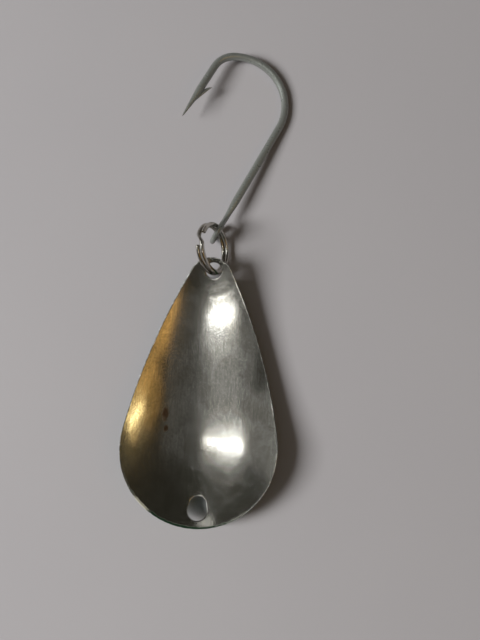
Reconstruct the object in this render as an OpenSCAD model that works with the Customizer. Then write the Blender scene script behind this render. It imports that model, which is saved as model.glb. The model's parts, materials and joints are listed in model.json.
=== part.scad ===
// Spoon lure: a dished teardrop blade, a split ring and a single hook.
// Millimetres and degrees. The lure lies on a table with the hollow of the blade upward.
// The origin is the middle of the line hole, Y runs to the hook and Z points up.

/* [Blade] */
// Length of the blade seen from above
blade_length = 52; // [48:0.5:58]
// Radius of the wide end
wide_radius = 15.1; // [14:0.1:16]
// Radius of the narrow end
narrow_radius = 4.4; // [4:0.1:4.8]
// Radius of the two bowed sides
side_radius = 103; // [80:1:160]
// Thickness of the sheet metal
sheet = 0.9; // [0.7:0.05:1.1]
// Radius of the dish along the blade
dish_along = 75; // [70:1:85]
// Radius of the dish across the blade
dish_across = 32; // [29:0.5:40]
// Distance from the wide end to the spot the belly lies on
belly_inset = 23.6; // [22:0.2:25]

/* [Holes] */
// Diameter of the line hole
line_hole = 3.7; // [3:0.1:4]
// Distance from the wide end to the middle of the line hole
line_hole_inset = 3.2; // [3:0.1:4.5]
// Diameter of the worn notch in the line hole
notch = 2.4; // [2:0.1:2.4]
// Distance from the line hole to the middle of its notch
notch_shift = 1.55; // [1.4:0.05:1.7]
// Distance of the line hole from the centre line, to the right
line_hole_shift = 0.55; // [0.4:0.05:0.7]
// Diameter of the ring hole
ring_hole = 3.2; // [3.1:0.05:3.4]
// Distance from the narrow end to the middle of the ring hole
ring_hole_inset = 2.35; // [2.3:0.05:2.6]
// Distance of the ring hole from the centre line, to the right
ring_hole_shift = 0.4; // [0.3:0.05:0.5]

/* [Split ring] */
// Outer diameter of the split ring
ring_od = 10.5; // [10.2:0.1:10.8]
// Width of the ring's wire, from the inside of the ring to the outside
ring_wire_w = 0.95; // [0.8:0.05:1]
// Thickness of the ring's wire
ring_wire_t = 0.55; // [0.5:0.01:0.56]
// Gap between the two turns
turn_gap = 0.42; // [0.41:0.01:0.46]
// Half the angle in which the wire steps from one turn to the other
step_half = 12; // [12:1:16]
// Place of that step on the ring
step_at = 169; // [162:1:176]

/* [Hook] */
// Diameter of the hook's wire
hook_wire = 1.55; // [1.4:0.05:1.6]
// Distance from the middle of the eye to the start of the bend
shank = 26.2; // [24:0.1:30]
// Radius of the bend on the shank's side
bend_r1 = 10.2; // [9.8:0.1:10.8]
// Radius of the bend on the point's side
bend_r2 = 5.2; // [4.9:0.1:5.8]
// Angle of the first part of the bend
bend_turn_1 = 122; // [119:1:125]
// Angle of the second part of the bend
bend_turn_2 = 57; // [54:1:60]
// Length of the straight spear from the bend to the tip
spear = 13; // [12.5:0.1:14]
// Length of the tapered point
point_taper = 7; // [6:0.1:7.5]
// Diameter of the very tip
tip_d = 0.14; // [0.1:0.02:0.3]
// Distance from the tip to the end of the barb
barb_back = 8.7; // [8.2:0.1:9]
// Distance of the barb's end from the middle of the wire
barb_reach = 1.9; // [1.6:0.05:2]
// Thickness of the barb
barb_t = 0.5; // [0.4:0.05:0.6]
// Diameter of the wire in the eye
eye_wire = 1.1; // [1:0.05:1.1]
// Inner diameter of the eye
eye_id = 3.3; // [3.25:0.05:3.4]
// Radius of the crook between shank and eye
crook_r = 2.2; // [2:0.1:2.6]
// Angle at which the wire of the eye ends
eye_end = 328; // [318:1:329]

/* [Pose on the table] */
// Turn of the ring to the left
ring_yaw = 4; // [1:1:8]
// Rise of the ring toward the hook
ring_pitch = -3; // [-5:0.5:-1]
// Lean of the ring, left side up
ring_lean = 60; // [58:1:63]
// Distance of the ring's wire from the middle of its hole, along the blade
ring_slack = 0.35; // [0.25:0.05:0.4]
// Distance of the ring's wire from the middle of its hole, to the left
ring_side = 0.2; // [0.1:0.05:0.2]
// Place of the hook's eye on the ring, from the far end to the right
eye_place = 25; // [24:1:28]
// Distance of the eye's middle from the ring's wire, away from the shank
eye_back = 0.3; // [0.1:0.05:0.3]
// Turn of the hook to the right
hook_turn = 25; // [20:0.5:30]
// Dip of the hook's shank toward the table
hook_dip = 4.3; // [4:0.1:4.3]
// Tilt of the hook, point side up
hook_tilt = 7.5; // [7.5:0.5:11]

/* [Hidden] */
$fn = 64;

// Places along the blade, measured from the spot the belly lies on
wide_end_y = -belly_inset;
wide_y = wide_end_y + wide_radius;
narrow_end_y = blade_length - belly_inset;
narrow_y = narrow_end_y - narrow_radius;
line_y = wide_end_y + line_hole_inset;
ring_hole_y = narrow_end_y - ring_hole_inset;

// The middle of the sheet over a place on the blade's centre line
mid_r = dish_along - sheet / 2;
function tilt_at(y) = asin(y / mid_r);
function mid_of(y) = [0, y, dish_along - mid_r * cos(tilt_at(y))];

// Centre of the right side's arc, which touches both end circles from outside
centre_gap = narrow_y - wide_y;
reach_w = side_radius - wide_radius;
reach_n = side_radius - narrow_radius;
side_cy = (reach_w * reach_w - reach_n * reach_n + centre_gap * centre_gap) / (2 * centre_gap);
side_cx = -sqrt(reach_w * reach_w - side_cy * side_cy);
wide_touch = atan2(-side_cy, -side_cx);
narrow_touch = atan2(centre_gap - side_cy, -side_cx);

// Ring sizes
ring_r = (ring_od - ring_wire_w) / 2;
turn_pitch = ring_wire_t + turn_gap;
end_margin = 4;
ring_start = step_half + end_margin;
ring_stop = 720 - step_half - end_margin;
ring_steps = 172;
ring_sides = 12;

// Hook sizes
eye_r = (eye_id + eye_wire) / 2;
crook_y = sqrt(pow(crook_r + eye_r, 2) - crook_r * crook_r);
crook_turn = acos(crook_r / (crook_r + eye_r));
shank_taper = 4;
taper_y = crook_y + shank_taper;
bend_turn = bend_turn_1 + bend_turn_2;
bend_c1 = [-bend_r1, shank, 0];
bend_c2 = bend_c1 + (bend_r1 - bend_r2) * [cos(bend_turn_1), sin(bend_turn_1), 0];
bend_end = bend_c2 + bend_r2 * [cos(bend_turn), sin(bend_turn), 0];
hook_sides = 14;
barb_root = 0.1;
barb_rise = 0.6;
barb_front = 2;
barb_nose = 2.2;

// Poses
function turn_x(v, a) = [v.x, v.y * cos(a) - v.z * sin(a), v.y * sin(a) + v.z * cos(a)];
function turn_y(v, a) = [v.x * cos(a) + v.z * sin(a), v.y, v.z * cos(a) - v.x * sin(a)];
function turn_z(v, a) = [v.x * cos(a) - v.y * sin(a), v.x * sin(a) + v.y * cos(a), v.z];
function ring_turn(v) = turn_z(turn_x(turn_y(v, ring_lean), ring_pitch), ring_yaw);
line_mid = mid_of(line_y) + [line_hole_shift, 0, 0];
ring_hole_mid = mid_of(ring_hole_y) + [ring_hole_shift, 0, 0];
ring_mid = ring_hole_mid - [ring_side, 0, 0] + ring_turn([0, ring_r - ring_slack, 0]);
eye_on_ring = ring_mid + ring_turn(ring_r * [sin(eye_place), cos(eye_place), 0]);
eye_mid = eye_on_ring - [eye_back * sin(hook_turn), eye_back * cos(hook_turn), 0];

function arc(centre, r, a0, a1, n) =
    [for (i = [0:n]) centre + r * [cos(a0 + (a1 - a0) * i / n), sin(a0 + (a1 - a0) * i / n)]];

// Right half of the outline, from the wide end to the narrow end
function half_outline() = concat(
    arc([0, wide_y], wide_radius, -90, wide_touch, 36),
    arc([side_cx, wide_y + side_cy], side_radius, wide_touch, narrow_touch, 10),
    arc([0, narrow_y], narrow_radius, narrow_touch, 90, 18)
);

module outline() {
    right = half_outline();
    last = len(right) - 1;
    left = [for (i = [last - 1:-1:1]) [-right[i].x, right[i].y]];
    polygon([for (p = concat(right, left)) [round(p.x * 1e4) / 1e4, round(p.y * 1e4) / 1e4]]);
}

// A sheet bent both ways: an arc across the blade, swept along it
module dish() {
    wide_turn = asin((belly_inset + 2) / (dish_along - 8));
    narrow_turn = asin((narrow_end_y + 2) / (dish_along - 8));
    translate([0, 0, dish_along])
        rotate([0, 90, 0])
            rotate([0, 0, -wide_turn])
                rotate_extrude(angle = wide_turn + narrow_turn, $fn = 180)
                    dish_arc();
}

module dish_arc() {
    across = wide_radius + 1.5;
    lowest = dish_along - dish_across;
    intersection() {
        translate([lowest, 0])
            difference() {
                circle(r = dish_across, $fn = 180);
                circle(r = dish_across - sheet, $fn = 180);
            }
        translate([lowest + dish_across / 2, -across])
            square([dish_across, 2 * across]);
    }
}

// Puts a tool upright on the sheet over a place on the centre line
module on_sheet(y) {
    translate(mid_of(y))
        rotate([tilt_at(y), 0, 0])
            children();
}

module spoon_blade() {
    color([0.72, 0.71, 0.67])
        difference() {
            intersection() {
                dish();
                translate([0, 0, -1])
                    linear_extrude(height = 20)
                        outline();
            }
            translate([line_hole_shift, 0, 0])
                on_sheet(line_y) {
                    cylinder(d = line_hole, h = 4 * sheet, center = true);
                    translate([0, notch_shift, 0])
                        cylinder(d = notch, h = 4 * sheet, center = true);
                }
            translate([ring_hole_shift, 0, 0])
                on_sheet(ring_hole_y)
                    cylinder(d = ring_hole, h = 4 * sheet, center = true);
        }
}

// Height of the ring's wire at an angle along its two turns
function step_part(a) = min(max((a - 360 + step_half) / (2 * step_half), 0), 1);
function wire_height(a) = -turn_pitch / 2 * cos(180 * step_part(a));
function blunt(c) = sign(c) * pow(abs(c), 0.6);

// One cross-section of the ring's wire
function wire_section(i) =
    let (a = ring_start + (ring_stop - ring_start) * i / ring_steps, turn = a + step_at)
    [for (k = [0:ring_sides - 1])
        let (
            s = 360 * k / ring_sides,
            r = ring_r + ring_wire_w / 2 * blunt(cos(s)),
            z = wire_height(a) + ring_wire_t / 2 * blunt(sin(s))
        )
        [r * cos(turn), r * sin(turn), z]];

module split_ring_wire() {
    sections = [for (i = [0:ring_steps]) wire_section(i)];
    last = ring_steps * ring_sides;
    sides = [for (i = [0:ring_steps - 1], k = [0:ring_sides - 1])
        let (a = i * ring_sides + k, b = i * ring_sides + (k + 1) % ring_sides)
        each [[a, b, a + ring_sides], [b, b + ring_sides, a + ring_sides]]];
    first_end = [for (k = [ring_sides - 1:-1:0]) k];
    last_end = [for (k = [0:ring_sides - 1]) last + k];
    polyhedron([for (s = sections) each s], concat(sides, [first_end, last_end]), convexity = 6);
}

// Least gap between the two turns, measured on the points of their cross-sections
function least_gap() = min([for (i = [0:ring_steps], j = [i + 80:min(i + 100, ring_steps)])
    each [for (p = wire_section(i), q = wire_section(j)) norm(p - q)]]);

module ring_place() {
    translate(ring_mid)
        rotate([0, 0, ring_yaw])
            rotate([ring_pitch, 0, 0])
                rotate([0, ring_lean, 0])
                    children();
}

module split_ring() {
    color([0.62, 0.62, 0.6])
        ring_place()
            split_ring_wire();
}

// One station of the hook's wire: its middle, two directions across it and its radius
function crook_station(g) = [
    [0, crook_y - crook_r * sin(g), crook_r * (1 - cos(g))],
    [1, 0, 0],
    [0, sin(g), cos(g)],
    1.12 * eye_wire / 2
];
function eye_station(a) = [
    eye_r * [0, cos(a), sin(a)],
    [1, 0, 0],
    [0, cos(a), sin(a)],
    0.7 * eye_wire / 2
];
function shank_station(y, d) = [[0, y, 0], [1, 0, 0], [0, 0, 1], d / 2];
function bend_station(c, r, a) = [
    c + r * [cos(a), sin(a), 0],
    [cos(a), sin(a), 0],
    [0, 0, 1],
    hook_wire / 2
];
function spear_station(y, d) = [
    bend_end + y * [-sin(bend_turn), cos(bend_turn), 0],
    [cos(bend_turn), sin(bend_turn), 0],
    [0, 0, 1],
    d / 2
];
function taper_d(part) = tip_d + (hook_wire - tip_d) * pow(part, 0.8);

// The wire from inside the eye, along the shank and around the bend to the tip
function hook_stations() = concat(
    [for (i = [3:-1:1]) eye_station(90 - crook_turn + 10 * i)],
    [for (i = [6:-1:0]) crook_station(crook_turn * i / 6)],
    [shank_station(taper_y, hook_wire)],
    [for (i = [0:18]) bend_station(bend_c1, bend_r1, bend_turn_1 * i / 18)],
    [for (i = [1:16]) bend_station(bend_c2, bend_r2, bend_turn_1 + bend_turn_2 * i / 16)],
    [for (i = [6:-1:0]) spear_station(spear - point_taper * i / 6, taper_d(i / 6))]
);

module hook_wire_tube() {
    stations = hook_stations();
    count = len(stations);
    points = [for (s = stations, k = [0:hook_sides - 1])
        s[0] + s[3] * (cos(360 * k / hook_sides) * s[1] + sin(360 * k / hook_sides) * s[2])];
    sides = [for (i = [0:count - 2], k = [0:hook_sides - 1])
        let (a = i * hook_sides + k, b = i * hook_sides + (k + 1) % hook_sides)
        each [[a, b, a + hook_sides], [b, b + hook_sides, a + hook_sides]]];
    first_end = [for (k = [hook_sides - 1:-1:0]) k];
    last_end = [for (k = [0:hook_sides - 1]) (count - 1) * hook_sides + k];
    polyhedron(points, concat(sides, [first_end, last_end]), convexity = 6);
}

// The eye lies across the plane of the bend, so a ring's wire runs through it along X
module eye() {
    rotate([0, 90, 0])
        rotate([0, 0, 180 - crook_turn])
            rotate_extrude(angle = eye_end - 90 + crook_turn)
                translate([eye_r, 0])
                    circle(d = eye_wire, $fn = 32);
}

// The barb is cut from the wire on the side toward the shank
module barb() {
    barb_y = spear - barb_back;
    translate(bend_end)
        rotate([0, 0, bend_turn])
            translate([0, 0, -barb_t / 2])
                linear_extrude(height = barb_t)
                    polygon([
                        [-barb_reach, barb_y],
                        [-barb_root, barb_y + barb_rise],
                        [-barb_root, spear - barb_front],
                        [-2 * barb_root, spear - barb_nose]
                    ]);
}

// The shank runs along Y from the eye, and the point is on its left
module hook_shape() {
    hook_wire_tube();
    eye();
    barb();
}

module hook() {
    color([0.4, 0.42, 0.4])
        translate(eye_mid)
            rotate([0, 0, -hook_turn])
                rotate([-hook_dip, 0, 0])
                    rotate([0, hook_tilt, 0])
                        hook_shape();
}

echo(str("split ring: least gap between its turns ", least_gap(), " mm"));

translate(-line_mid) {
    spoon_blade();
    split_ring();
    hook();
}
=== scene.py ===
import json
import math

import bmesh
import bpy
from mathutils import Matrix, Vector, kdtree, noise
from mathutils.geometry import delaunay_2d_cdt


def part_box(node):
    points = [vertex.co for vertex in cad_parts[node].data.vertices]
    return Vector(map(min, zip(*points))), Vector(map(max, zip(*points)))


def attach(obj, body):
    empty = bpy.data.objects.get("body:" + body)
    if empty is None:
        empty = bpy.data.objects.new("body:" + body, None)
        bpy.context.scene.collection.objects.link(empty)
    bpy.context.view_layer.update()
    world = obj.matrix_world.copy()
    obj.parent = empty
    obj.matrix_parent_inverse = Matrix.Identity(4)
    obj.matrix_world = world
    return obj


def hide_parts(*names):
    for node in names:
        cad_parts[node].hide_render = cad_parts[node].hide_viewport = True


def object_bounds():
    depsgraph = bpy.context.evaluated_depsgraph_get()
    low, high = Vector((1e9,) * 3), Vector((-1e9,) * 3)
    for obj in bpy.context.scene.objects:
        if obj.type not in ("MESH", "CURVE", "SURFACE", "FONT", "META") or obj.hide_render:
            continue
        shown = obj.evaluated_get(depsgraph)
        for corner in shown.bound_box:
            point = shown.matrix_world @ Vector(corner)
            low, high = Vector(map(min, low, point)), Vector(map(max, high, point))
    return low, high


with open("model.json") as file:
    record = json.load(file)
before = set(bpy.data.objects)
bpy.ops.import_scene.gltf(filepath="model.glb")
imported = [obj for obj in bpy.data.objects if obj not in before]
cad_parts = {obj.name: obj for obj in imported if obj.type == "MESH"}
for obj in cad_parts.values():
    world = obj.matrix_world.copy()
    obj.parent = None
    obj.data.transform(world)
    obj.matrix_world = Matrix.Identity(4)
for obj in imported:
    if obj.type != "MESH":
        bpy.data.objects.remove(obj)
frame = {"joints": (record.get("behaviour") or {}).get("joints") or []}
cad_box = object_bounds()
joints = {j["name"]: j for j in frame["joints"]}
MM = 0.001

# Blade, in millimetres: the same sizes as its solid, but for a rounder worn end of the line hole
blade_low, blade_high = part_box("spoon_blade")
WIDE_RADIUS = (blade_high.x - blade_low.x) / 2 / MM
BLADE_LENGTH = (blade_high.y - blade_low.y) / MM
NARROW_RADIUS = 4.4
SIDE_RADIUS = 103.0
SHEET = 0.9
DISH_ALONG = 75.0
DISH_ACROSS = 32.0
BELLY_INSET = 23.6
LINE_HOLE_INSET = 3.2
LINE_HOLE_SHIFT = 0.55
RING_HOLE_INSET = 2.35
RING_HOLE_SHIFT = 0.4

# Rounding of each edge, on the hollow face and on the convex face
RIM_ROUND = (0.18, 0.2)
LINE_HOLE_ROUND = (0.22, 0.2)
RING_HOLE_ROUND = (0.12, 0.2)

# Wear of the rim: a small inset that keeps it inside its solid, and the depth of its nicks
RIM_INSET = 0.001
RIM_NICK = 0.12

# Mark pressed around the ring hole
PUNCH_RADIUS = 5.0
PUNCH_WIDTH = 0.35
PUNCH_DEPTH = 0.012

# Mesh spacing: beside a rounded edge, around a hole and across the faces
HOLDING_GAP = 0.08
HOLE_MARGIN = 0.4
FILL_STEP = 0.5

# Places along the blade, from the spot the belly lies on
wide_end_y = -BELLY_INSET
wide_y = wide_end_y + WIDE_RADIUS
narrow_end_y = BLADE_LENGTH - BELLY_INSET
narrow_y = narrow_end_y - NARROW_RADIUS

# Each hole has a round end and a worn end, which lies further along the blade by its shift
LINE_HOLE = {
    "x": LINE_HOLE_SHIFT,
    "y": wide_end_y + LINE_HOLE_INSET,
    "radius": 1.85,
    "worn": 1.6,
    "shift": 1.15,
}
RING_HOLE = {
    "x": RING_HOLE_SHIFT,
    "y": narrow_end_y - RING_HOLE_INSET,
    "radius": 1.6,
    "worn": 1.6,
    "shift": 0.0,
}

# Centre and ends of the bowed side, which touches both end circles
centre_gap = narrow_y - wide_y
reach_wide = SIDE_RADIUS - WIDE_RADIUS
reach_narrow = SIDE_RADIUS - NARROW_RADIUS
side_rise = (reach_wide**2 - reach_narrow**2 + centre_gap**2) / (2 * centre_gap)
side_x = -math.sqrt(reach_wide**2 - side_rise**2)
side_y = wide_y + side_rise
wide_touch = math.atan2(-side_rise, -side_x)
narrow_touch = math.atan2(centre_gap - side_rise, -side_x)

# Split ring: its wire, the step between its two turns, its cut ends and how it hangs in its hole
RING_RADIUS = 4.775
RING_WIRE_WIDE = 0.95
RING_WIRE_THICK = 0.69
RING_WIRE_POWER = 0.72
RING_PITCH = 0.93
RING_STEP_HALF = math.radians(12)
RING_STEP_AT = math.radians(169)
RING_END_MARGIN = math.radians(4)
RING_END_ROUND = 0.12
RING_STEPS = 300
RING_SLACK = 0.35
RING_SIDE = 0.2
RING_TURNS = [("Z", 4), ("X", -3), ("Y", 60)]

# Hook
HOOK_WIRE = 1.55
SHANK = 26.2
BEND_RADII = (10.2, 5.2)
BEND_TURNS = (math.radians(122), math.radians(57))
SPEAR = 13.0
POINT_TAPER = 7.0
TIP = 0.14
BARB_BACK = 8.7
BARB_REACH = 1.9

# Starts of the barb's outer edge and of its cut, from the tip and from the wire's middle
BARB_FRONT = 2.4
BARB_LIFT = 0.12
BARB_CUT = 3.2
BARB_DEPTH = 0.15

# Half the barb's thickness at its root and at its tip, and the least half of its height
BARB_ROOT_HALF = 0.26
BARB_TIP_HALF = 0.08
BARB_LEAST = 0.04

# Eye of the hook, and the crook and taper between eye and shank
EYE_WIRE = 1.1
EYE_RADIUS = 2.2
EYE_END = math.radians(328)
CROOK_RADIUS = 2.2
SHANK_TAPER = 4.0

# Steps of the hook's mesh
EYE_STEPS = 72
CROOK_STEPS = 14
SHANK_STEPS = 40
BEND_STEPS = (72, 40)
SPEAR_STEPS = 60
BARB_STEPS = 12

# Turns of the hook as it lies
HOOK_TURNS = [("Z", -25), ("X", -4.3), ("Y", 7.5)]

# Camera: its aim and distance in millimetres, its turns, and its lens for a long side of 36 mm
AIM = Vector((5.61, 37.39, -1.295))
CAMERA_DISTANCE = 139.74
CAMERA_ELEVATION = math.radians(82)
CAMERA_ROLL = math.radians(3.93)
LENS = 39.375

# Floor, in metres: a flat disc, a curve up from it and the top of the wall
FLOOR_RADIUS = 0.6
FLOOR_CURVE = 0.4
FLOOR_WALL = 0.6
floor_z = cad_box[0].z


def turned(turns):
    """The rotation of several turns, the last one made first."""
    result = Matrix.Identity(4)
    for axis, degrees in turns:
        result = result @ Matrix.Rotation(math.radians(degrees), 4, axis)
    return result


def make_piece(name, points, faces, materials, face_slots=None, values=None):
    """A mesh object from points in millimetres, with named values on its points."""
    mesh = bpy.data.meshes.new(name)
    mesh.from_pydata([tuple(p * MM for p in point) for point in points], [], faces)
    for item in materials:
        mesh.materials.append(item)
    if face_slots:
        mesh.polygons.foreach_set("material_index", face_slots)
    for key, numbers in (values or {}).items():
        mesh.attributes.new(key, "FLOAT", "POINT").data.foreach_set("value", numbers)
    work = bmesh.new()
    work.from_mesh(mesh)
    bmesh.ops.recalc_face_normals(work, faces=work.faces)
    work.to_mesh(mesh)
    work.free()
    mesh.shade_smooth()
    mesh.set_sharp_from_angle(angle=math.radians(50))
    piece = bpy.data.objects.new(name, mesh)
    bpy.context.scene.collection.objects.link(piece)
    return piece


# Blade

def punch_mark(x, y):
    """A shallow pressed ring around the ring hole."""
    away = math.hypot(x - RING_HOLE["x"], y - RING_HOLE["y"])
    return -PUNCH_DEPTH * math.exp(-(((away - PUNCH_RADIUS) / PUNCH_WIDTH) ** 2))


def waviness(x, y):
    """Small unevenness of the pressed sheet."""
    slow = noise.noise(Vector((x / 9, y / 9, 3.7)))
    fast = noise.noise(Vector((x / 3.5, y / 3.5, 8.1)))
    return 0.004 + 0.03 * slow + 0.005 * fast


def face_height(x, y, thick):
    """Height of the face that lies thick above the convex face, over place x, y."""
    reach = DISH_ALONG - DISH_ACROSS + math.sqrt((DISH_ACROSS - thick) ** 2 - x * x)
    return DISH_ALONG - math.sqrt(reach * reach - y * y)


def sheet_point(x, y, height):
    """The point over place x, y, with height running from zero on the convex face to the sheet's top."""
    low, high = face_height(x, y, 0), face_height(x, y, SHEET)
    z = low + (high - low) * height / SHEET
    return Vector((x, y, z + waviness(x, y) + punch_mark(x, y)))


# Middle of the line hole, halfway through the sheet, which is the part's origin
mid_radius = DISH_ALONG - SHEET / 2
line_tilt = math.asin(LINE_HOLE["y"] / mid_radius)
line_middle = Vector((LINE_HOLE["x"], LINE_HOLE["y"], DISH_ALONG - mid_radius * math.cos(line_tilt)))


def half_width(y):
    """Half the width of the teardrop at y, or zero beyond its ends."""
    if y < wide_y + WIDE_RADIUS * math.sin(wide_touch):
        return math.sqrt(max(WIDE_RADIUS**2 - (y - wide_y) ** 2, 0))
    if y < narrow_y + NARROW_RADIUS * math.sin(narrow_touch):
        return side_x + math.sqrt(SIDE_RADIUS**2 - (y - side_y) ** 2)
    return math.sqrt(max(NARROW_RADIUS**2 - (y - narrow_y) ** 2, 0))


def arc(centre, radius, start, stop, count):
    """Points of an arc, without the last one."""
    step = (stop - start) / count
    angles = [start + step * i for i in range(count)]
    return [(centre[0] + radius * math.cos(a), centre[1] + radius * math.sin(a)) for a in angles]


def outline_loop(inset):
    """The teardrop's edge, drawn in from the rim by inset."""
    right = arc((0, wide_y), WIDE_RADIUS - inset, -math.pi / 2, wide_touch, 80)
    right += arc((side_x, side_y), SIDE_RADIUS - inset, wide_touch, narrow_touch, 96)
    right += arc((0, narrow_y), NARROW_RADIUS - inset, narrow_touch, math.pi / 2, 28)
    right.append((0, narrow_end_y - inset))
    return right + [(-x, y) for x, y in reversed(right[1:-1])]


def hole_loop(hole, inset):
    """A hole's edge, widened by inset: a round end and a worn end with straight flanks between."""
    lean = math.asin((hole["radius"] - hole["worn"]) / hole["shift"]) if hole["shift"] else 0
    flat = arc((0, hole["shift"]), hole["worn"] + inset, lean, math.pi - lean, 28)
    flat += arc((0, 0), hole["radius"] + inset, math.pi - lean, 2 * math.pi + lean, 36)
    tilt = math.asin(hole["y"] / mid_radius)
    return [(hole["x"] + x, hole["y"] + y * math.cos(tilt)) for x, y in flat]


def edge_rows(loop_at, rounding):
    """Loops of places and heights around a rounded edge, from the hollow face to the convex face."""
    round_top, round_low = rounding
    quarter = [math.radians(22.5 * i) for i in range(5)]
    top = [(round_top * (1 - math.sin(a)), SHEET - round_top * (1 - math.cos(a))) for a in quarter]
    low = [(round_low * (1 - math.cos(a)), round_low * (1 - math.sin(a))) for a in quarter]
    steps = [(round_top + HOLDING_GAP, SHEET)] + top + low + [(round_low + HOLDING_GAP, 0)]
    return [[(x, y, height) for x, y in loop_at(inset)] for inset, height in steps]


def hole_rows(hole, rounding):
    """Loops around a hole that is bored square to the sheet."""
    lean = hole["y"] / mid_radius
    rows = edge_rows(lambda inset: hole_loop(hole, inset), rounding)
    return [[(x, y - lean * (height - SHEET / 2), height) for x, y, height in row] for row in rows]


def in_hole(x, y):
    """Whether a place is in a hole or on its rounded edge."""
    for hole in (LINE_HOLE, RING_HOLE):
        for lift, radius in ((0, hole["radius"]), (hole["shift"], hole["worn"])):
            if math.hypot(x - hole["x"], y - (hole["y"] + lift)) < radius + HOLE_MARGIN:
                return True
    return False


def fill_points(loops):
    """A regular grid of places inside the teardrop and clear of its edges."""
    edge = [p for loop in loops for p in loop]
    tree = kdtree.KDTree(len(edge))
    for i, (x, y) in enumerate(edge):
        tree.insert((x, y, 0), i)
    tree.balance()
    found = []
    row_step = FILL_STEP * math.sqrt(3) / 2
    columns = int(WIDE_RADIUS / FILL_STEP) + 1
    for row in range(int(BLADE_LENGTH / row_step)):
        y = wide_end_y + row * row_step
        for column in range(-columns, columns + 1):
            x = (column + 0.5 * (row % 2)) * FILL_STEP
            clear = tree.find((x, y, 0))[2] > 0.7 * FILL_STEP
            if abs(x) < half_width(y) and clear and not in_hole(x, y):
                found.append((x, y))
    return found


def fill(loops):
    """Triangles between the rim and the holes. Gives the inner places and the faces."""
    inner = fill_points(loops)
    places = [Vector(p) for loop in loops for p in loop] + [Vector(p) for p in inner]
    edges, owner, first = [], {}, 0
    for which, loop in enumerate(loops):
        size = len(loop)
        edges += [(first + i, first + (i + 1) % size) for i in range(size)]
        owner.update({first + i: which for i in range(size)})
        first += size
    made = delaunay_2d_cdt(places, edges, [], 1, 1e-7)
    source = [ids[0] for ids in made[3]]
    faces = [[source[i] for i in face] for face in made[2]]
    return inner, [f for f in faces if not in_one_hole([owner.get(i, 0) for i in f])]


def in_one_hole(owners):
    """Whether a triangle has all its corners on the edge of one hole."""
    return owners[0] > 0 and len(set(owners)) == 1


def rim_wear(rows):
    """Small nicks along the rim, which move the outer rows inward."""
    worn = []
    for row in rows:
        moved = []
        for x, y, height in row:
            fine = max(noise.noise(Vector((x * 1.1, y * 1.1, 2.0))) - 0.15, 0)
            share = 1 - (RIM_INSET + RIM_NICK * fine) / WIDE_RADIUS
            moved.append((x * share, wide_y + (y - wide_y) * share, height))
        worn.append(moved)
    return worn


def blade_piece(metal, paint):
    """The dished sheet with rounded edges, metal in its hollow and paint on its belly."""
    rims = [
        rim_wear(edge_rows(outline_loop, RIM_ROUND)),
        hole_rows(LINE_HOLE, LINE_HOLE_ROUND),
        hole_rows(RING_HOLE, RING_HOLE_ROUND),
    ]
    # How many rows of each edge are bare metal, before the paint starts
    metal_rows = (4, 7, 5)
    spots, faces, slots, ends = [], [], [], {0: [], -1: []}
    for rows, bare in zip(rims, metal_rows):
        size, first = len(rows[0]), len(spots)
        spots += [p for row in rows for p in row]
        for r in range(len(rows) - 1):
            a, b = first + r * size, first + (r + 1) * size
            faces += [(a + i, a + (i + 1) % size, b + (i + 1) % size, b + i) for i in range(size)]
            slots += [0 if r < bare else 1] * size
        ends[0] += range(first, first + size)
        ends[-1] += range(first + (len(rows) - 1) * size, first + len(rows) * size)
    for which, height, slot in ((0, SHEET, 0), (-1, 0, 1)):
        inner, triangles = fill([[(x, y) for x, y, _ in rows[which]] for rows in rims])
        index = ends[which] + list(range(len(spots), len(spots) + len(inner)))
        spots += [(x, y, height) for x, y in inner]
        faces += [[index[i] for i in face] for face in triangles]
        slots += [slot] * len(triangles)
    rim = kdtree.KDTree(len(rims[0][0]))
    for i, (x, y) in enumerate(outline_loop(0)):
        rim.insert((x, y, 0), i)
    rim.balance()
    values = {"rim": [rim.find((x, y, 0))[2] for x, y, _ in spots]}
    points = [sheet_point(*spot) - line_middle for spot in spots]
    return make_piece("blade", points, faces, [metal, paint], slots, values)


# Wires

def sweep(sections):
    """Points and faces of a closed tube through rings of points."""
    size, last = len(sections[0]), (len(sections) - 1) * len(sections[0])
    faces = [
        (r + k, r + (k + 1) % size, r + size + (k + 1) % size, r + size + k)
        for r in range(0, last, size)
        for k in range(size)
    ]
    faces += [tuple(range(size)), tuple(range(last, last + size))]
    return [p for s in sections for p in s], faces


def blunt(value, power):
    """A power of a value that keeps its sign, for a section with blunt corners."""
    return math.copysign(abs(value) ** power, value)


def ring_section(angle, size, sides=24):
    """One ring of points around the split ring's wire, at an angle along its two turns."""
    part = (angle - 2 * math.pi + RING_STEP_HALF) / (2 * RING_STEP_HALF)
    height = -RING_PITCH / 2 * math.cos(math.pi * min(max(part, 0), 1))
    points = []
    for k in range(sides):
        s = 2 * math.pi * k / sides
        r = RING_RADIUS + size * RING_WIRE_WIDE / 2 * blunt(math.cos(s), RING_WIRE_POWER)
        z = height + size * RING_WIRE_THICK / 2 * blunt(math.sin(s), RING_WIRE_POWER)
        turn = angle + RING_STEP_AT
        points.append(Vector((r * math.cos(turn), r * math.sin(turn), z)))
    return points


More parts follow.
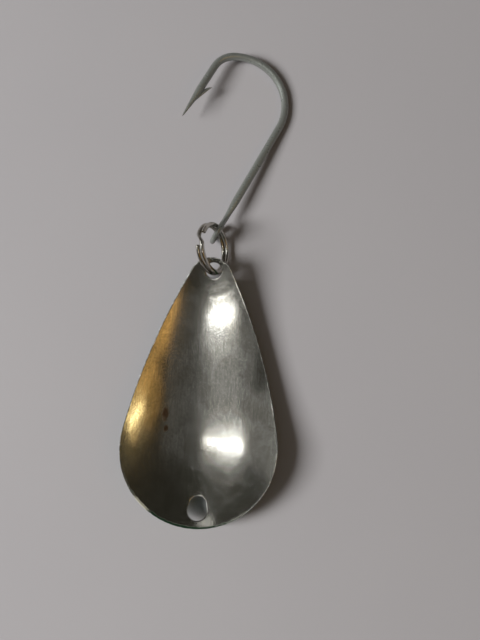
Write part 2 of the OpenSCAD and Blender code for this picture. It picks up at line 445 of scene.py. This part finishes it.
def ring_piece(steel):
    """The split ring's wire, with slightly rounded cut ends."""
    margin = RING_STEP_HALF + RING_END_MARGIN
    start, stop = margin, 4 * math.pi - margin
    end_round = RING_END_ROUND / RING_RADIUS
    stations = [(start, 0.72), (start + 0.3 * end_round, 0.9)]
    span = stop - start - 2 * end_round
    stations += [(start + end_round + span * i / RING_STEPS, 1) for i in range(RING_STEPS + 1)]
    stations += [(stop - 0.3 * end_round, 0.9), (stop, 0.72)]
    hole = Vector(joints["ring_swing"]["pos_m"]) / MM
    turn = turned(RING_TURNS)
    middle = hole - Vector((RING_SIDE, 0, 0)) + turn @ Vector((0, RING_RADIUS - RING_SLACK, 0))
    points, faces = sweep([ring_section(*s) for s in stations])
    return make_piece("ring", [middle + turn @ p for p in points], faces, [steel])


def hook_stations():
    """Middle, two directions across and radius of the hook's wire, from the eye's end to the tip."""
    across, up = Vector((1, 0, 0)), Vector((0, 0, 1))
    crook_turn = math.acos(CROOK_RADIUS / (CROOK_RADIUS + EYE_RADIUS))
    crook_y = (CROOK_RADIUS + EYE_RADIUS) * math.sin(crook_turn)
    eye_start = math.pi / 2 - crook_turn
    stations = []
    for i in range(EYE_STEPS, 0, -1):
        a = eye_start + (EYE_END - eye_start) * i / EYE_STEPS
        out = Vector((0, math.cos(a), math.sin(a)))
        stations.append((EYE_RADIUS * out, across, out, EYE_WIRE / 2))
    for i in range(CROOK_STEPS, 0, -1):
        a = crook_turn * i / CROOK_STEPS
        middle = Vector((0, crook_y - CROOK_RADIUS * math.sin(a), CROOK_RADIUS * (1 - math.cos(a))))
        stations.append((middle, across, Vector((0, math.sin(a), math.cos(a))), EYE_WIRE / 2))
    for i in range(SHANK_STEPS + 1):
        y = crook_y + (SHANK - crook_y) * i / SHANK_STEPS
        part = min((y - crook_y) / SHANK_TAPER, 1)
        part = part * part * (3 - 2 * part)
        stations.append((Vector((0, y, 0)), across, up, (EYE_WIRE + (HOOK_WIRE - EYE_WIRE) * part) / 2))
    centre, turn = Vector((-BEND_RADII[0], SHANK, 0)), 0
    for which, count in enumerate(BEND_STEPS):
        radius, angle = BEND_RADII[which], BEND_TURNS[which]
        if which:
            centre = centre + (BEND_RADII[0] - radius) * Vector((math.cos(turn), math.sin(turn), 0))
        for i in range(1, count + 1):
            a = turn + angle * i / count
            out = Vector((math.cos(a), math.sin(a), 0))
            stations.append((centre + radius * out, out, up, HOOK_WIRE / 2))
        turn += angle
    end, out = stations[-1][0], stations[-1][1]
    along = Vector((-out.y, out.x, 0))
    for i in range(1, SPEAR_STEPS + 1):
        y = SPEAR * i / SPEAR_STEPS
        part = min((SPEAR - y) / POINT_TAPER, 1)
        stations.append((end + y * along, out, up, (TIP + (HOOK_WIRE - TIP) * part**0.8) / 2))
    return stations, (end, out, along)


def round_section(middle, across, up, radius, sides=24):
    """One ring of points around a round wire."""
    angles = [2 * math.pi * k / sides for k in range(sides)]
    return [middle + radius * (math.cos(a) * across + math.sin(a) * up) for a in angles]


def barb_sections(end, out, along, sides=12):
    """Rings of points around the sliver that is cut from the wire and bent up."""
    barb_y = SPEAR - BARB_BACK
    up = Vector((0, 0, 1))

    def place(x, y):
        return end + x * out + y * along

    sections = []
    for i in range(BARB_STEPS + 1):
        t = i / BARB_STEPS
        outer_x = -BARB_LIFT - (BARB_REACH - BARB_LIFT) * t**1.15
        outer = place(outer_x, SPEAR - BARB_FRONT - (BARB_BACK - BARB_FRONT) * t)
        inner_x = BARB_DEPTH * (1 - t) ** 2 - 2 * t * (1 - t) * 0.35 - BARB_REACH * t * t
        inner_y = (SPEAR - BARB_CUT) * (1 - t) ** 2 + 2 * t * (1 - t) * (barb_y + 0.5) + barb_y * t * t
        inner = place(inner_x, inner_y)
        middle, reach = (outer + inner) / 2, (outer - inner) / 2
        half = BARB_ROOT_HALF * (1 - t) + BARB_TIP_HALF * t
        reach = reach if reach.length > BARB_LEAST else -out * BARB_LEAST
        ring = []
        for k in range(sides):
            s = 2 * math.pi * k / sides
            ring.append(middle + math.cos(s) * reach + math.sin(s) * half * up)
        sections.append(ring)
    return sections


def joined(first, second, name):
    """One closed mesh of two pieces, which are then removed."""
    cut = first.modifiers.new("join", "BOOLEAN")
    cut.operation = "UNION"
    cut.solver = "EXACT"
    cut.object = second
    bpy.context.view_layer.update()
    shape = first.evaluated_get(bpy.context.evaluated_depsgraph_get())
    mesh = bpy.data.meshes.new_from_object(shape)
    mesh.name = name
    for used in (first, second):
        bpy.data.objects.remove(used)
    piece = bpy.data.objects.new(name, mesh)
    bpy.context.scene.collection.objects.link(piece)
    return piece


def hook_piece(tin):
    """The hook's wire with its eye, bend, point and barb."""
    stations, spear = hook_stations()
    place = Matrix.Translation(Vector(joints["hook_swing"]["pos_m"]) / MM) @ turned(HOOK_TURNS)
    shapes = {"wire": [round_section(*s) for s in stations], "barb": barb_sections(*spear)}
    parts = []
    for name, sections in shapes.items():
        points, faces = sweep(sections)
        parts.append(make_piece(name, [place @ p for p in points], faces, [tin]))
    return joined(parts[0], parts[1], "hook_wire")


# Materials

class Surface:
    """A material's nodes, with coordinates in millimetres."""

    def __init__(self, name):
        self.material = bpy.data.materials.new(name)
        self.material.use_nodes = True
        self.nodes = self.material.node_tree.nodes
        self.links = self.material.node_tree.links
        self.shader = self.nodes["Principled BSDF"]
        place = self.add("ShaderNodeTexCoord").outputs["Object"]
        self.place = self.vector("SCALE", place, scale=1 / MM)

    def add(self, kind, **settings):
        node = self.nodes.new(kind)
        for key, value in settings.items():
            setattr(node, key, value)
        return node

    def feed(self, socket, value):
        if isinstance(value, bpy.types.NodeSocket):
            self.links.new(value, socket)
        else:
            socket.default_value = value

    def set(self, **inputs):
        for key, value in inputs.items():
            self.feed(self.shader.inputs[key.replace("_", " ").title().replace("Ior", "IOR")], value)

    def vector(self, operation, a, b=None, scale=None):
        node = self.add("ShaderNodeVectorMath", operation=operation)
        self.feed(node.inputs[0], a)
        if b is not None:
            self.feed(node.inputs[1], b)
        if scale is not None:
            node.inputs["Scale"].default_value = scale
        return node.outputs["Value" if operation in ("DISTANCE", "LENGTH") else "Vector"]

    def math(self, operation, *values):
        node = self.add("ShaderNodeMath", operation=operation)
        for socket, value in zip(node.inputs, values):
            self.feed(socket, value)
        return node.outputs[0]

    def noise(self, scale, detail=3.0, roughness=0.5, distortion=0.0, place=None):
        node = self.add("ShaderNodeTexNoise")
        self.feed(node.inputs["Vector"], self.place if place is None else place)
        settings = {"Scale": scale, "Detail": detail, "Roughness": roughness, "Distortion": distortion}
        for key, value in settings.items():
            node.inputs[key].default_value = value
        return node.outputs[0]

    def streaks(self, angle, along, across, seed):
        """Noise drawn out into fine parallel lines at an angle."""
        node = self.add("ShaderNodeMapping")
        self.feed(node.inputs["Vector"], self.place)
        node.inputs["Location"].default_value = (seed, seed, seed)
        node.inputs["Rotation"].default_value = (0, 0, math.radians(angle))
        node.inputs["Scale"].default_value = (across, along, along)
        return self.noise(1.0, 2.0, 0.6, place=node.outputs[0])

    def span(self, value, low, high, to_low=0.0, to_high=1.0):
        """A value's place between low and high, eased and held at the ends."""
        node = self.add("ShaderNodeMapRange", interpolation_type="SMOOTHSTEP")
        self.feed(node.inputs[0], value)
        for i, number in enumerate((low, high, to_low, to_high)):
            node.inputs[i + 1].default_value = number
        return node.outputs[0]

    def mix(self, share, a, b):
        node = self.add("ShaderNodeMix", data_type="RGBA")
        self.feed(node.inputs[0], share)
        self.feed(node.inputs[6], a if isinstance(a, bpy.types.NodeSocket) else (*a, 1))
        self.feed(node.inputs[7], b if isinstance(b, bpy.types.NodeSocket) else (*b, 1))
        return node.outputs[2]

    def attribute(self, name):
        return self.add("ShaderNodeAttribute", attribute_name=name).outputs["Fac"]

    def bump(self, height, depth, strength=1.0, normal=None):
        node = self.add("ShaderNodeBump")
        self.feed(node.inputs["Height"], height)
        node.inputs["Distance"].default_value = depth * MM
        node.inputs["Strength"].default_value = strength
        if normal is not None:
            self.feed(node.inputs["Normal"], normal)
        return node.outputs[0]

    def spot(self, x, y, z, reach, stretch=1.0):
        """One near a point in millimetres, easing to zero at reach, longer along Y, with an uneven edge."""
        apart = self.vector("SUBTRACT", self.place, (x, y, z))
        away = self.vector("LENGTH", self.vector("MULTIPLY", apart, (1, 1 / stretch, 1)))
        uneven = self.math("MULTIPLY_ADD", self.noise(2.5, 4), reach, -0.5 * reach)
        return self.span(self.math("ADD", away, uneven), 0.4 * reach, reach, 1.0, 0.0)


def nickel():
    """Worn nickel plate: tarnished in clouds, with brush lines, scratches, stains and a rubbed rim."""
    s = Surface("worn_nickel")
    clouds = s.span(s.noise(0.16, 5, 0.6, 0.4), 0.38, 0.66)
    grain = s.noise(2.6, 5, 0.75)
    brush = s.streaks(2, 0.3, 6, 7)
    pits = s.span(s.noise(1.7, 5, 0.7), 0.6, 0.72)
    colour = s.mix(clouds, (0.62, 0.61, 0.56), (0.485, 0.47, 0.415))
    colour = s.mix(s.span(brush, 0.4, 0.68, 0, 0.36), colour, (0.34, 0.325, 0.28))
    colour = s.mix(s.span(grain, 0.43, 0.66, 0, 0.48), colour, (0.27, 0.26, 0.215))
    colour = s.mix(s.math("MULTIPLY", pits, 0.3), colour, (0.25, 0.23, 0.18))
    stains = s.math("MAXIMUM", s.spot(-7.7, 18.0, -1.51, 0.85, 2.2), s.spot(-7.37, 15.1, -1.45, 0.6, 1.4))
    colour = s.mix(s.math("MULTIPLY", stains, 0.85), colour, (0.08, 0.04, 0.02))
    edge = s.span(s.attribute("rim"), 0.1, 0.24, 1, 0)
    colour = s.mix(s.math("MULTIPLY", edge, 0.75), colour, (0.1, 0.11, 0.085))
    colour = s.mix(s.math("MULTIPLY", edge, s.span(s.noise(2.4, 2), 0.5, 0.56)), colour, (0.86, 0.85, 0.8))
    scratches = s.math("ADD", s.streaks(12, 0.12, 7, 3), s.streaks(-35, 0.2, 9, 11))
    haze = s.span(s.noise(9, 3, 0.6), 0.38, 0.66, 0.07, 0.25)
    # Green paint over the hollow's edge near the wide end, partly real paint and partly painted shade: it
    # is given a far darker green than the belly's paint, as shade along the rim.
    near = s.math("ADD", s.attribute("rim"), s.math("MULTIPLY", s.noise(1.3, 3), -0.5))
    green = s.math("MULTIPLY", s.span(near, 0.14, 0.24, 1, 0), s.spot(-3.5, -2.0, 1.5, 15))
    colour = s.mix(green, colour, (0.012, 0.032, 0.016))
    primer = s.math("MULTIPLY", s.spot(-10.75, 0.8, 2.0, 2.6), s.span(near, 0.15, 0.3, 1, 0))
    colour = s.mix(primer, colour, (0.5, 0.49, 0.4))
    s.set(base_color=colour, metallic=s.math("SUBTRACT", 1.0, s.math("MAXIMUM", green, primer)))
    s.set(roughness=s.math("MULTIPLY_ADD", stains, 0.2, haze))
    lines = s.bump(s.math("ADD", scratches, brush), 0.004, 0.6)
    s.set(normal=s.bump(grain, 0.003, 0.5, lines))
    return s.material


def green_paint():
    """Glossy green paint on the belly, chipped to bare metal near the rim."""
    s = Surface("green_paint")
    shade = s.noise(0.2, 4)
    colour = s.mix(shade, (0.012, 0.13, 0.045), (0.03, 0.24, 0.085))
    rim = s.attribute("rim")
    patches = s.math("MULTIPLY", s.noise(0.9, 5, 0.6), 0.5)
    flakes = s.math("MULTIPLY_ADD", s.noise(2.6, 4, 0.6), 0.5, patches)
    rubbed = s.span(rim, 0.0, 2.2, 0.17, 0.0)
    lost = s.spot(-10.65, 0.7, 1.8, 2.2)
    chip = s.math("ADD", s.math("ADD", flakes, rubbed), s.math("MULTIPLY", lost, 0.2))
    bare = s.span(chip, 0.665, 0.685)
    # Painted shade: the paint is darkened along the rim, and around the ring hole where the ring's shadow
    # falls.
    grime_and_painted_shade = s.math("MAXIMUM", s.span(rim, 0.1, 0.5, 0.85, 0), s.spot(-0.15, 46.4, 1.9, 3.2))
    colour = s.mix(grime_and_painted_shade, colour, (0.012, 0.03, 0.016))
    s.set(base_color=s.mix(bare, colour, (0.62, 0.6, 0.54)), metallic=bare)
    s.set(roughness=s.span(shade, 0.3, 0.7, 0.2, 0.32))
    s.set(coat_weight=0.5, coat_roughness=0.08)
    edge = s.bump(s.math("SUBTRACT", 1.0, bare), 0.05, 1.0)
    s.set(normal=s.bump(s.noise(1.2, 2), 0.02, 0.3, edge))
    return s.material


def ring_steel():
    """Bright drawn steel wire with a little dirt."""
    s = Surface("ring_steel")
    grime_and_painted_shade = s.span(s.noise(0.9, 5, 0.6), 0.45, 0.7)
    s.set(base_color=s.mix(grime_and_painted_shade, (0.52, 0.5, 0.45), (0.28, 0.25, 0.19)), metallic=1.0)
    s.set(roughness=s.span(grime_and_painted_shade, 0, 1, 0.08, 0.22))
    s.set(normal=s.bump(s.noise(5, 3), 0.004, 0.6))
    return s.material


def hook_tin():
    """Dull tinned wire, grey-green and faintly mottled."""
    s = Surface("hook_tin")
    mottle = s.noise(1.4, 5, 0.6)
    s.set(base_color=s.mix(mottle, (0.25, 0.27, 0.25), (0.35, 0.365, 0.34)))
    s.set(metallic=s.span(mottle, 0.35, 0.65, 0.45, 0.65), roughness=s.span(mottle, 0.3, 0.7, 0.26, 0.38))
    s.set(normal=s.bump(s.noise(4, 4), 0.003, 0.6))
    return s.material


def paper():
    """Plain pale floor with a faint tooth."""
    s = Surface("paper")
    tone = s.noise(0.02, 4)
    s.set(base_color=s.mix(tone, (0.42, 0.41, 0.43), (0.45, 0.44, 0.455)), roughness=0.9)
    s.set(specular_ior_level=0.2, normal=s.bump(s.noise(3, 4), 0.02, 0.3))
    return s.material


# Stage, camera and lights

def floor_piece(material):
    """A round floor that curves up into a low wall all round."""
    curve = [math.radians(10 * i) for i in range(1, 10)]
    profile = [(FLOOR_RADIUS / 6, 0.0), (FLOOR_RADIUS / 2, 0.0), (FLOOR_RADIUS, 0.0)]
    profile += [(FLOOR_RADIUS + FLOOR_CURVE * math.sin(a), FLOOR_CURVE * (1 - math.cos(a))) for a in curve]
    profile.append((FLOOR_RADIUS + FLOOR_CURVE, FLOOR_WALL))
    points, faces, sides = [], [], 96
    around = [2 * math.pi * k / sides for k in range(sides)]
    for r, z in profile:
        points += [(r / MM * math.cos(a), r / MM * math.sin(a), (floor_z + z) / MM) for a in around]
    for row in range(len(profile) - 1):
        a, b = row * sides, (row + 1) * sides
        faces += [(a + k, a + (k + 1) % sides, b + (k + 1) % sides, b + k) for k in range(sides)]
    faces.append(tuple(range(sides)))
    piece = make_piece("floor", points, faces, [material])


def camera():
    """A camera above the lure, a little toward its line hole."""
    cos_e, sin_e = math.cos(CAMERA_ELEVATION), math.sin(CAMERA_ELEVATION)
    ahead = Vector((-math.sin(CAMERA_ROLL) * cos_e, math.cos(CAMERA_ROLL) * cos_e, -sin_e))
    right = Vector((math.cos(CAMERA_ROLL), math.sin(CAMERA_ROLL), 0))
    up = right.cross(ahead)
    data = bpy.data.cameras.new("camera")
    data.lens = LENS
    data.sensor_width = 36
    data.clip_start = 0.005
    eye = bpy.data.objects.new("camera", data)
    eye.matrix_world = Matrix((right, up, -ahead)).transposed().to_4x4()
    eye.location = (AIM - ahead * CAMERA_DISTANCE) * MM
    bpy.context.scene.collection.objects.link(eye)
    bpy.context.scene.camera = eye


def softbox(
    name, spot, right, ahead, distance, size, radiance,
    colour=(1, 1, 1), roll=0, shape="RECTANGLE", mirrored=True, shining=True,
):
    """A soft light, leaning from straight above a spot by degrees to the right and ahead."""
    direction = Vector((math.tan(math.radians(right)), math.tan(math.radians(ahead)), 1)).normalized()
    data = bpy.data.lights.new(name, "AREA")
    data.shape = shape
    data.size, data.size_y = size
    data.energy = radiance * math.pi * size[0] * size[1]
    data.color = colour
    lamp = bpy.data.objects.new(name, data)
    across = Vector((0, 1, 0)).cross(direction).normalized()
    facing = Matrix((across, direction.cross(across), direction)).transposed().to_4x4()
    place = Matrix.Translation(Vector(spot) * MM + direction * distance)
    lamp.matrix_world = place @ facing @ Matrix.Rotation(math.radians(roll), 4, "Z")
    lamp.visible_camera = False
    lamp.visible_glossy = mirrored
    lamp.visible_diffuse = shining
    bpy.context.scene.collection.objects.link(lamp)


def glint(*place, **look):
    """A soft light that is seen in mirrors and lights nothing else."""
    softbox(*place, shining=False, **look)


def lights():
    """A key light, and panels that the blade, the ring and the hook mirror."""
    # Spots on the lure that the lights are aimed at, in millimetres
    wide, middle, narrow = (4.15, 12.8, -1.6), (1.45, 25.0, -1.5), (1.95, 39.0, 0.1)
    hook_side, wide_rim, left_rim = (8, 62, 0), (1.69, -1.77, 1.08), (-13.05, 17.5, 0.3)
    left_middle, left_narrow = (-10.2, 18.4, -0.9), (-8.35, 35.8, 0.2)
    gold, lamp_gold = (1, 0.56, 0.15), (1, 0.8, 0.4)
    lamp_white, daylight = (1, 0.99, 0.97), (0.95, 0.98, 1)
    softbox("key", middle, -48.5, -16, 0.8, (0.36, 0.24), 27.5, lamp_white, mirrored=False)
    glint("strip_ahead", wide, -18.3, 9.6, 0.6, (0.26, 0.014), 8.5, roll=2)
    glint("strip_ahead_right", wide, -24, 10.2, 0.6, (0.15, 0.024), 5, roll=2)
    glint("strip_behind", narrow, -11.9, -19.6, 0.6, (0.18, 0.055), 4, shape="ELLIPSE")
    glint("glow_behind", narrow, -12, -17.5, 0.62, (0.24, 0.16), 0.3, shape="ELLIPSE")
    softbox("ceiling", middle, -8, -6, 0.65, (0.72, 0.42), 0.065)
    softbox("ceiling_middle", middle, -17, -4, 0.64, (0.4, 0.26), 0.1)
    softbox("ceiling_bright", middle, -16, -4, 0.63, (0.22, 0.3), 0.11, shape="ELLIPSE")
    softbox("left", middle, -43, 6.5, 0.7, (0.22, 0.17), 0.2)
    softbox("wood", middle, 37.5, -18, 0.6, (0.27, 0.44), 0.46, gold, roll=-32)
    glint("wood_near", left_middle, 31.5, 0.5, 0.6, (0.15, 0.12), 0.26, gold, shape="ELLIPSE")
    glint("lamp_on_wood", left_rim, 39.5, 5.4, 0.58, (0.085, 0.016), 7.5, lamp_gold, roll=24)
    glint("end_of_wood", left_narrow, 23, -17.3, 0.58, (0.05, 0.13), 0.7, gold, roll=-32)
    glint("far_lamp", wide_rim, -11.5, 26.7, 0.6, (0.09, 0.012), 2)
    glint("window", hook_side, -65, 4, 0.6, (0.16, 0.3), 3, daylight)
    world = bpy.data.worlds.new("room")
    world.use_nodes = True
    world.node_tree.nodes["Background"].inputs["Color"].default_value = (0.03, 0.0292, 0.0235, 1)
    bpy.context.scene.world = world


bpy.context.scene.view_settings.view_transform = "Standard"
camera()
lights()
floor_piece(paper())

blade = blade_piece(nickel(), green_paint())
ring = ring_piece(ring_steel())
hook = hook_piece(hook_tin())
for piece, body, node, slot in (
    (blade, "blade", "spoon_blade", "blade_nickel"),
    (ring, "ring", "split_ring", "ring_steel"),
    (hook, "hook", "hook", "hook_tin"),
):
    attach(piece, body)
    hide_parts(node)
